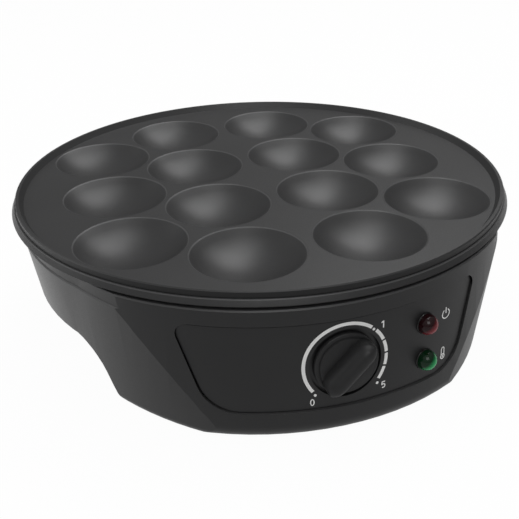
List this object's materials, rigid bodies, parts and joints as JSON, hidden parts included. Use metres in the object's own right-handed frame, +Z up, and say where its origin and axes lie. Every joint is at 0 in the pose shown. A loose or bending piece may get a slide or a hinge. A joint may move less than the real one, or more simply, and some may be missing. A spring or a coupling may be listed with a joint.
{
  "type": "mini pancake maker",
  "caption": "Round countertop mini pancake maker: dark cast plate with round cups on a black drum housing with side hand grips, a front dial and red and green lamps.",
  "frame": {"origin": "on the floor under the middle of the overall box, 6.6 mm in front of the plate's axis", "axes": "+Z up, -Y toward the front with the dial, +X to the right seen from the front"},
  "size_m": [0.303, 0.3162, 0.087],
  "materials": {
    "coated_casting": "satin non-stick coat",
    "housing_plastic": "satin",
    "panel_plastic": "satin",
    "knob_plastic": "semi-gloss",
    "bezel_plastic": "gloss",
    "red_lens": "gloss, translucent",
    "green_lens": "gloss, translucent",
    "steel": "plain",
    "heater_tube": "oxidised",
    "aluminised_sheet": "bright",
    "brass": "plain",
    "ceramic": "matt",
    "bulb_glass": "clear",
    "holder_plastic": "matt",
    "rubber": "matt",
    "brown_lead": "matt",
    "black_lead": "matt",
    "blue_lead": "matt"
  },
  "bodies": {
    "base": {"baking_plate": "coated_casting", "plate_gasket": "rubber", "heating_element": "heater_tube", "element_beads": "ceramic", "element_tabs": "steel", "heat_shield": "aluminised_sheet", "shield_spacers": "steel", "plate_posts": "steel", "plate_bolts": "steel", "housing": "housing_plastic", "control_panel": "panel_plastic", "panel_nuts": "steel", "thermostat_bush": "brass", "bush_nut": "brass", "thermostat_bracket": "steel", "bracket_screw": "steel", "ceramic_stack": "ceramic", "stack_rivet": "steel", "adjusting_blade": "brass", "contact_blade": "brass", "bimetal_blade": "brass", "red_lens": "red_lens", "green_lens": "green_lens", "lamp_bezels": "bezel_plastic", "neon_lamps": "bulb_glass", "lamp_holders": "holder_plastic", "thermal_fuse": "ceramic", "fuse_clip": "steel", "fuse_screw": "steel", "terminal_block": "ceramic", "terminal_screws": "brass", "cord_gland": "rubber", "bottom_cover": "housing_plastic", "cover_screws": "steel", "rubber_feet": "rubber", "lead_live": "brown_lead", "lead_switched": "black_lead", "lead_neutral": "blue_lead"},
    "dial": {"control_knob": "knob_plastic", "thermostat_shaft": "steel", "shaft_clip": "steel"}
  },
  "joints": [
    {"name": "dial_turn", "type": "hinge", "parent": "base", "child": "dial", "pos_m": [0, -0.14384, 0.04321], "axis": [0, 0.9975, -0.0703], "range_deg": [0, 260]}
  ]
}
